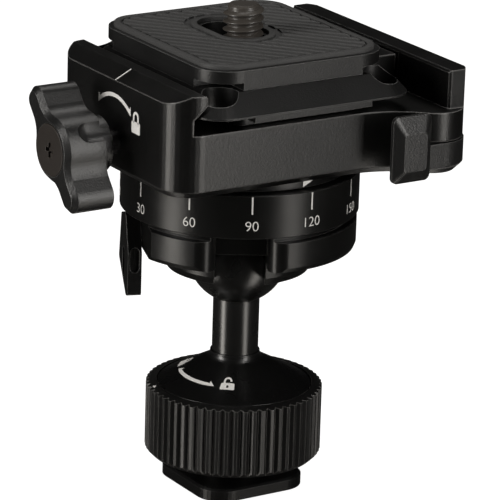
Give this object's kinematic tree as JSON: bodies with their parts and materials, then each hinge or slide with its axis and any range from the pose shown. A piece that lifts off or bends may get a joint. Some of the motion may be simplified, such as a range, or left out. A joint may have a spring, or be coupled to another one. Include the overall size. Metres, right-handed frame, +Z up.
{
  "type": "reverse ball head",
  "caption": "Reverse ball head: shoe foot with knurled lock collar, ball in a slotted socket, degree ring, panning quick-release clamp with lever, wing knob and camera plate.",
  "frame": {"origin": "on the stem's axis, at the bottom of the foot", "axes": "+Z up along the stem, +X across the jaws towards the release lever, +Y along the jaws away from the clamp's front face"},
  "size_m": [0.0621, 0.0505, 0.0787],
  "materials": {
    "anodised_black": "satin black anodised",
    "polished_black": "smooth black hard anodised",
    "lever_plastic": "fine grained black moulding",
    "dark_screw": "dark bronze-black plated steel",
    "steel": "plain turned steel",
    "brass": "plain turned brass",
    "slide_plastic": "smooth low-friction plastic",
    "pad_rubber": "fine ribbed black rubber"
  },
  "bodies": {
    "base": {"shoe_foot": "anodised_black", "foot_screw": "steel", "base_cap": "anodised_black"},
    "collar": {"clamp_collar": "anodised_black"},
    "washer": {"pressure_washer": "steel"},
    "ball_post": {"ball_stem": "polished_black"},
    "shoe": {"pressure_shoe": "slide_plastic"},
    "housing": {"retaining_ring": "anodised_black", "socket_housing": "anodised_black", "scale_ring": "anodised_black", "pan_washer": "slide_plastic", "pan_spindle": "steel", "spindle_washer": "steel", "spindle_screw": "steel"},
    "ball_lock": {"lock_lever": "lever_plastic", "lock_screw": "steel"},
    "ball_brake": {"ball_brake_pad": "brass"},
    "clamp": {"pan_turret": "anodised_black", "turret_screws": "steel", "clamp_body": "anodised_black", "jaw_guide_pins": "steel", "lever_pivot_pin": "steel"},
    "knob": {"pan_lock_screw": "steel", "pan_knob": "lever_plastic", "knob_cap_screw": "dark_screw"},
    "pan_brake": {"pan_brake_pad": "brass"},
    "lever": {"release_lever": "lever_plastic", "cam_pin": "steel"},
    "jaw": {"movable_jaw": "anodised_black"},
    "plate": {"plate_body": "anodised_black", "rubber_pad": "pad_rubber"},
    "screw_carrier": {"screw_clip": "steel"},
    "camera_bolt": {"camera_screw": "dark_screw"}
  },
  "joints": [
    {"name": "collar_turn", "type": "hinge", "parent": "base", "child": "collar", "pos_m": [0, 0, 0.0108], "axis": [0, 0, 1], "range_deg": [-25, 94]},
    {"name": "washer_press", "type": "slide", "parent": "base", "child": "washer", "axis": [0, 0, 1], "range_m": [-0.000105, 0.000392]},
    {"name": "ball_spin", "type": "hinge", "parent": "base", "child": "ball_post", "pos_m": [0, 0, 0.038], "axis": [0, 0, 1], "continuous": true},
    {"name": "drop_tilt", "type": "hinge", "parent": "ball_post", "child": "shoe", "pos_m": [0, 0, 0.038], "axis": [0.866, -0.5, 0], "range_deg": [-25, 90]},
    {"name": "side_tilt", "type": "hinge", "parent": "shoe", "child": "housing", "pos_m": [0, 0, 0.038], "axis": [-0.5, -0.866, 0], "range_deg": [-32, 32]},
    {"name": "ball_lock_turn", "type": "hinge", "parent": "housing", "child": "ball_lock", "pos_m": [-0.01673, 0.00609, 0.0427], "axis": [-0.9397, 0.342, 0], "range_deg": [-35, 35]},
    {"name": "ball_brake_press", "type": "slide", "parent": "housing", "child": "ball_brake", "axis": [-0.9397, 0.342, 0], "range_m": [-0.00007, 0.00007]},
    {"name": "pan_turn", "type": "hinge", "parent": "housing", "child": "clamp", "pos_m": [0, 0, 0.054], "axis": [0, 0, 1], "continuous": true},
    {"name": "knob_turn", "type": "hinge", "parent": "clamp", "child": "knob", "pos_m": [-0.03, 0, 0.0594], "axis": [1, 0, 0], "range_deg": [-90, 25]},
    {"name": "pan_brake_press", "type": "slide", "parent": "clamp", "child": "pan_brake", "axis": [1, 0, 0], "range_m": [-0.00018, 0.00005]},
    {"name": "lever_swing", "type": "hinge", "parent": "clamp", "child": "lever", "pos_m": [0.0226, 0.0135, 0.0577], "axis": [0, 0, 1], "range_deg": [0, 45], "stiffness_Nm_per_rad": 0.02, "springref_deg": -20.05},
    {"name": "jaw_slide", "type": "slide", "parent": "clamp", "child": "jaw", "axis": [1, 0, 0], "range_m": [0, 0.0021]},
    {"name": "plate_slide", "type": "slide", "parent": "clamp", "child": "plate", "axis": [0, 1, 0], "range_m": [-0.015, 0.015]},
    {"name": "screw_slide", "type": "slide", "parent": "plate", "child": "screw_carrier", "axis": [0, 1, 0], "range_m": [0, 0.006]},
    {"name": "screw_turn", "type": "hinge", "parent": "screw_carrier", "child": "camera_bolt", "pos_m": [-0.0002, 0, 0.0761], "axis": [0, 0, 1], "continuous": true}
  ],
  "couplings": [
    {"joint": "washer_press", "follows": "collar_turn", "m_per_rad": 0.00023873},
    {"joint": "ball_brake_press", "follows": "ball_lock_turn", "m_per_rad": 0.00011141},
    {"joint": "pan_brake_press", "follows": "knob_turn", "m_per_rad": 0.00011141},
    {"joint": "jaw_slide", "follows": "lever_swing", "m_per_rad": 0.00267}
  ]
}
